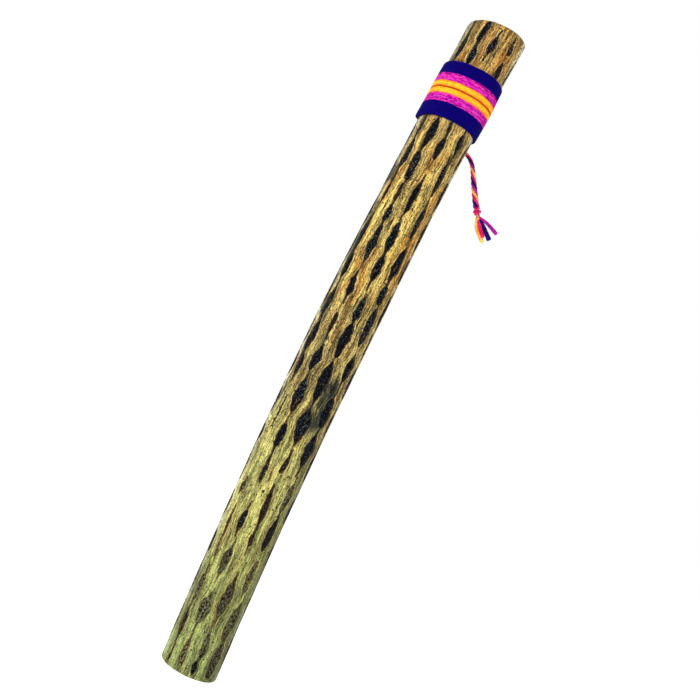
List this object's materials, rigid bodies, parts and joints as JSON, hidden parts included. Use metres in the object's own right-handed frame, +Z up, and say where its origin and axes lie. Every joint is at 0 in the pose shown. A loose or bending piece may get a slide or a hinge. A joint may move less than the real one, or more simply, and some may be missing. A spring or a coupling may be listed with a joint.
{
  "type": "rainstick",
  "caption": "Slightly bowed dried cactus tube with thorns and loose stones inside, a striped woven sash near the top and a twisted cord with loose tails.",
  "frame": {"origin": "centre of the flat lower end of the tube", "axes": "+Z up along the stick, the tube bows towards -X, and -Y is the front, away from the cord"},
  "size_m": [0.1107, 0.0583, 0.601],
  "materials": {
    "cactus_wood": "gloss",
    "dried_pith": "gloss",
    "plug_wood": "matte",
    "dried_glue": "satin",
    "thorn": "satin",
    "pebble": "matte",
    "woven_sash": "matte",
    "navy_yarn": "matte",
    "pink_yarn": "matte",
    "yellow_yarn": "matte",
    "magenta_yarn": "matte"
  },
  "bodies": {
    "stick": {"cactus_shell": "cactus_wood", "dried_pith": "dried_pith", "plug_bottom": "plug_wood", "plug_top": "plug_wood", "plug_glue_bottom": "dried_glue", "plug_glue_top": "dried_glue", "thorn_row_01": "thorn", "thorn_row_02": "thorn", "thorn_row_03": "thorn", "thorn_row_04": "thorn", "thorn_row_05": "thorn", "thorn_row_06": "thorn", "thorn_row_07": "thorn", "thorn_row_08": "thorn", "thorn_row_09": "thorn", "thorn_row_10": "thorn", "thorn_row_11": "thorn", "thorn_row_12": "thorn", "woven_band": "woven_sash", "band_stitching": "navy_yarn", "cord_tie": "navy_yarn"},
    "cord_root": {"cord_root_knot": "navy_yarn"},
    "cord": {"cord_strand_yellow": "yellow_yarn", "cord_strand_pink": "pink_yarn", "cord_strand_navy": "navy_yarn", "cord_strand_magenta": "magenta_yarn", "knot_wrap": "pink_yarn"},
    "pebbles_a": {"pebbles_a": "pebble"},
    "pebbles_b": {"pebbles_b": "pebble"},
    "pebbles_c": {"pebbles_c": "pebble"},
    "pebbles_d": {"pebbles_d": "pebble"}
  },
  "joints": [
    {"name": "cord_swing", "type": "hinge", "parent": "stick", "child": "cord_root", "pos_m": [0.012, 0.0262, 0.5014], "axis": [0, -1, 0], "range_deg": [-40, 75], "stiffness_Nm_per_rad": 0.01},
    {"name": "cord_lift", "type": "hinge", "parent": "cord_root", "child": "cord", "pos_m": [0.012, 0.0262, 0.5014], "axis": [0.7365, 0, 0.6764], "range_deg": [0, 60], "stiffness_Nm_per_rad": 0.01},
    {"name": "pebbles_a_run", "type": "hinge", "parent": "stick", "child": "pebbles_a", "pos_m": [5.55151, 0, 0.3], "axis": [0, 1, 0], "range_deg": [0, 5.44]},
    {"name": "pebbles_b_run", "type": "hinge", "parent": "stick", "child": "pebbles_b", "pos_m": [5.55151, 0, 0.3], "axis": [0, 1, 0], "range_deg": [0, 5.44]},
    {"name": "pebbles_c_run", "type": "hinge", "parent": "stick", "child": "pebbles_c", "pos_m": [5.55151, 0, 0.3], "axis": [0, 1, 0], "range_deg": [0, 5.44]},
    {"name": "pebbles_d_run", "type": "hinge", "parent": "stick", "child": "pebbles_d", "pos_m": [5.55151, 0, 0.3], "axis": [0, 1, 0], "range_deg": [0, 5.44]}
  ]
}
